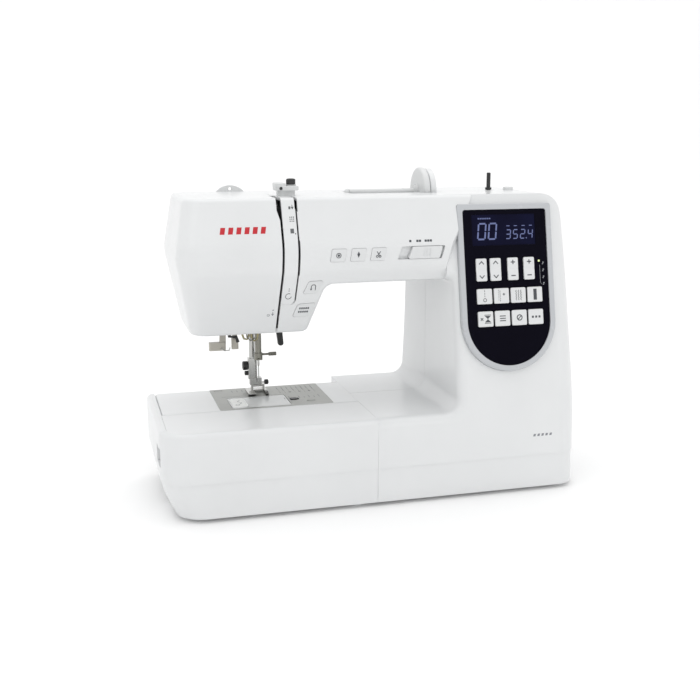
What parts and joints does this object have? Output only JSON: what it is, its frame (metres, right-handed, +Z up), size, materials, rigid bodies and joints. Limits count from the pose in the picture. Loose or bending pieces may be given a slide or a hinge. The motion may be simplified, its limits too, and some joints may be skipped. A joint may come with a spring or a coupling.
{
  "type": "sewing machine",
  "caption": "White computerised free-arm sewing machine with a control panel, display, extension table, needle and presser unit, handwheel and folding carry handle.",
  "frame": {"origin": "centre of the footprint of the whole machine, at table level", "axes": "+X to the operator's right, along the arm, +Y away from the operator, +Z up"},
  "size_m": [0.416, 0.18, 0.3065],
  "materials": {
    "body_white": "satin",
    "table_white": "satin",
    "bezel_white": "satin",
    "panel_black": "gloss",
    "display": "gloss",
    "key_white": "satin",
    "arm_key_white": "satin",
    "warm_grey_plastic": "satin",
    "black_plastic": "satin",
    "clear_cover": "gloss",
    "plate_steel": "brushed",
    "bright_steel": "polished",
    "shaft_steel": "turned",
    "cast_frame": "cast",
    "motor_metal": "satin",
    "rubber": "matte",
    "guide_white": "satin"
  },
  "bodies": {
    "base": {"front_casing": "body_white", "rear_casing": "body_white", "face_cover": "body_white", "top_cover": "body_white", "free_arm_cover": "body_white", "base_tray": "body_white", "main_frame": "cast_frame", "panel_bezel": "bezel_white", "panel_face": "panel_black", "lcd_display": "display", "thread_guides": "guide_white", "spool_pin": "guide_white", "needle_plate": "plate_steel", "bobbin_holder": "black_plastic", "motor": "motor_metal", "drive_belts": "rubber", "power_inlet": "black_plastic", "rubber_feet": "rubber"},
    "table": {"table_body": "table_white"},
    "table_lid": {"table_lid": "table_white"},
    "spool_disc": {"spool_disc": "guide_white"},
    "winder": {"winder_spindle": "black_plastic"},
    "handle": {"carry_handle": "guide_white"},
    "drive": {"handwheel": "body_white", "upper_shaft": "shaft_steel"},
    "lower_drive": {"lower_shaft": "shaft_steel"},
    "hook": {"rotary_hook": "bright_steel"},
    "bobbin": {"bobbin": "clear_cover"},
    "motor_rotor": {"motor_pulley": "shaft_steel"},
    "swing": {"swing_frame": "cast_frame"},
    "needle_unit": {"needle_bar": "shaft_steel", "needle": "bright_steel"},
    "take_up": {"take_up_lever": "bright_steel"},
    "presser": {"presser_bar": "bright_steel", "presser_foot": "bright_steel"},
    "lifter": {"presser_lifter": "black_plastic"},
    "threader": {"threader_lever": "warm_grey_plastic"},
    "buttonhole": {"buttonhole_lever": "warm_grey_plastic"},
    "hook_cover": {"hook_cover": "clear_cover"},
    "cover_release": {"cover_release": "black_plastic"},
    "feed": {"feed_dog": "shaft_steel"},
    "speed_knob": {"speed_knob": "arm_key_white"},
    "power_switch": {"power_switch": "black_plastic"},
    "rocker_key_1": {"rocker_key_1": "key_white"},
    "rocker_key_2": {"rocker_key_2": "key_white"},
    "rocker_key_3": {"rocker_key_3": "key_white"},
    "rocker_key_4": {"rocker_key_4": "key_white"},
    "upper_key_1": {"upper_key_1": "key_white"},
    "upper_key_2": {"upper_key_2": "key_white"},
    "upper_key_3": {"upper_key_3": "key_white"},
    "upper_key_4": {"upper_key_4": "key_white"},
    "lower_key_1": {"lower_key_1": "key_white"},
    "lower_key_2": {"lower_key_2": "key_white"},
    "lower_key_3": {"lower_key_3": "key_white"},
    "lower_key_4": {"lower_key_4": "key_white"},
    "lock_key": {"lock_key": "arm_key_white"},
    "needle_key": {"needle_key": "arm_key_white"},
    "cutter_key": {"cutter_key": "arm_key_white"},
    "reverse_key": {"reverse_key": "arm_key_white"},
    "start_key": {"start_key": "arm_key_white"}
  },
  "joints": [
    {"name": "table_pull", "type": "slide", "parent": "base", "child": "table", "axis": [-1, 0, 0], "range_m": [0, 0.215]},
    {"name": "lid_open", "type": "hinge", "parent": "table", "child": "table_lid", "pos_m": [-0.108, -0.0897, 0.0365], "axis": [1, 0, 0], "range_deg": [0, 70]},
    {"name": "disc_spin", "type": "hinge", "parent": "base", "child": "spool_disc", "pos_m": [0.0612, 0.011, 0.284], "axis": [1, 0, 0], "continuous": true},
    {"name": "winder_spin", "type": "hinge", "parent": "base", "child": "winder", "pos_m": [0.133, 0.01, 0.27], "axis": [0, 0, 1], "continuous": true},
    {"name": "handle_lift", "type": "hinge", "parent": "base", "child": "handle", "pos_m": [-0.02, 0.0705, 0.262], "axis": [1, 0, 0], "range_deg": [0, 155]},
    {"name": "handwheel_turn", "type": "hinge", "parent": "base", "child": "drive", "pos_m": [0.092, 0.04, 0.24], "axis": [1, 0, 0], "continuous": true},
    {"name": "lower_shaft_turn", "type": "hinge", "parent": "base", "child": "lower_drive", "pos_m": [0.092, 0.028, 0.057], "axis": [1, 0, 0], "continuous": true},
    {"name": "hook_turn", "type": "hinge", "parent": "base", "child": "hook", "pos_m": [-0.1, 0.014, 0.06], "axis": [0, 0, 1], "continuous": true},
    {"name": "motor_turn", "type": "hinge", "parent": "base", "child": "motor_rotor", "pos_m": [0.142, -0.016, 0.11], "axis": [1, 0, 0], "continuous": true},
    {"name": "bobbin_spin", "type": "hinge", "parent": "base", "child": "bobbin", "pos_m": [-0.1, 0.014, 0.07], "axis": [0, 0, 1], "continuous": true},
    {"name": "needle_swing", "type": "hinge", "parent": "base", "child": "swing", "pos_m": [-0.098, 0.046, 0.267], "axis": [0, 1, 0], "range_deg": [-1.1, 1.1]},
    {"name": "needle_drive", "type": "slide", "parent": "swing", "child": "needle_unit", "axis": [0, 0, -1], "range_m": [0, 0.024]},
    {"name": "take_up_swing", "type": "hinge", "parent": "base", "child": "take_up", "pos_m": [-0.092, 0.01, 0.24], "axis": [1, 0, 0], "range_deg": [0, 45]},
    {"name": "presser_lift", "type": "slide", "parent": "base", "child": "presser", "axis": [0, 0, 1], "range_m": [0, 0.006]},
    {"name": "lifter_turn", "type": "hinge", "parent": "base", "child": "lifter", "pos_m": [-0.076, 0.064, 0.205], "axis": [0, -1, 0], "range_deg": [0, 34.4]},
    {"name": "threader_pull", "type": "slide", "parent": "base", "child": "threader", "axis": [0, 0, -1], "range_m": [0, 0.032], "stiffness_N_per_m": 40},
    {"name": "buttonhole_pull", "type": "slide", "parent": "base", "child": "buttonhole", "axis": [0, 0, -1], "range_m": [0, 0.04]},
    {"name": "hook_cover_lift", "type": "slide", "parent": "base", "child": "hook_cover", "axis": [0, 0, 1], "range_m": [0, 0.012]},
    {"name": "cover_release_push", "type": "slide", "parent": "base", "child": "cover_release", "axis": [1, 0, 0], "range_m": [0, 0.0018], "stiffness_N_per_m": 300},
    {"name": "feed_lift", "type": "slide", "parent": "base", "child": "feed", "axis": [0, 0, 1], "range_m": [0, 0.001]},
    {"name": "speed_set", "type": "slide", "parent": "base", "child": "speed_knob", "axis": [1, 0, 0], "range_m": [-0.007, 0.0015]},
    {"name": "power_rock", "type": "hinge", "parent": "base", "child": "power_switch", "pos_m": [0.185, -0.017, 0.059], "axis": [0, -1, 0], "range_deg": [0, 12]},
    {"name": "rock_1", "type": "hinge", "parent": "base", "child": "rocker_key_1", "pos_m": [0.09485, -0.06612, 0.21426], "axis": [1, 0, 0], "range_deg": [-2, 2], "stiffness_Nm_per_rad": 0.12},
    {"name": "rock_2", "type": "hinge", "parent": "base", "child": "rocker_key_2", "pos_m": [0.109, -0.06612, 0.21426], "axis": [1, 0, 0], "range_deg": [-2, 2], "stiffness_Nm_per_rad": 0.12},
    {"name": "rock_3", "type": "hinge", "parent": "base", "child": "rocker_key_3", "pos_m": [0.12655, -0.06612, 0.21426], "axis": [1, 0, 0], "range_deg": [-2, 2], "stiffness_Nm_per_rad": 0.12},
    {"name": "rock_4", "type": "hinge", "parent": "base", "child": "rocker_key_4", "pos_m": [0.14305, -0.06612, 0.21426], "axis": [1, 0, 0], "range_deg": [-2, 2], "stiffness_Nm_per_rad": 0.12},
    {"name": "press_upper_1", "type": "slide", "parent": "base", "child": "upper_key_1", "axis": [0, 0.9802, -0.1981], "range_m": [0, 0.0009], "stiffness_N_per_m": 600},
    {"name": "press_upper_2", "type": "slide", "parent": "base", "child": "upper_key_2", "axis": [0, 0.9802, -0.1981], "range_m": [0, 0.0009], "stiffness_N_per_m": 600},
    {"name": "press_upper_3", "type": "slide", "parent": "base", "child": "upper_key_3", "axis": [0, 0.9802, -0.1981], "range_m": [0, 0.0009], "stiffness_N_per_m": 600},
    {"name": "press_upper_4", "type": "slide", "parent": "base", "child": "upper_key_4", "axis": [0, 0.9802, -0.1981], "range_m": [0, 0.0009], "stiffness_N_per_m": 600},
    {"name": "press_lower_1", "type": "slide", "parent": "base", "child": "lower_key_1", "axis": [0, 0.9802, -0.1981], "range_m": [0, 0.0009], "stiffness_N_per_m": 600},
    {"name": "press_lower_2", "type": "slide", "parent": "base", "child": "lower_key_2", "axis": [0, 0.9802, -0.1981], "range_m": [0, 0.0009], "stiffness_N_per_m": 600},
    {"name": "press_lower_3", "type": "slide", "parent": "base", "child": "lower_key_3", "axis": [0, 0.9802, -0.1981], "range_m": [0, 0.0009], "stiffness_N_per_m": 600},
    {"name": "press_lower_4", "type": "slide", "parent": "base", "child": "lower_key_4", "axis": [0, 0.9802, -0.1981], "range_m": [0, 0.0009], "stiffness_N_per_m": 600},
    {"name": "press_lock", "type": "slide", "parent": "base", "child": "lock_key", "axis": [0, 1, 0], "range_m": [0, 0.0012], "stiffness_N_per_m": 600},
    {"name": "press_needle", "type": "slide", "parent": "base", "child": "needle_key", "axis": [0, 1, 0], "range_m": [0, 0.0012], "stiffness_N_per_m": 600},
    {"name": "press_cutter", "type": "slide", "parent": "base", "child": "cutter_key", "axis": [0, 1, 0], "range_m": [0, 0.0012], "stiffness_N_per_m": 600},
    {"name": "press_reverse", "type": "slide", "parent": "base", "child": "reverse_key", "axis": [0, 1, 0], "range_m": [0, 0.0012], "stiffness_N_per_m": 600},
    {"name": "press_start", "type": "slide", "parent": "base", "child": "start_key", "axis": [0, 1, 0], "range_m": [0, 0.0012], "stiffness_N_per_m": 600}
  ],
  "couplings": [
    {"joint": "lower_shaft_turn", "follows": "handwheel_turn", "ratio": 1},
    {"joint": "hook_turn", "follows": "handwheel_turn", "ratio": 2},
    {"joint": "motor_turn", "follows": "handwheel_turn", "ratio": 2},
    {"joint": "take_up_swing", "follows": "needle_drive", "rad_per_m": 32},
    {"joint": "presser_lift", "follows": "lifter_turn", "m_per_rad": 0.00999}
  ]
}
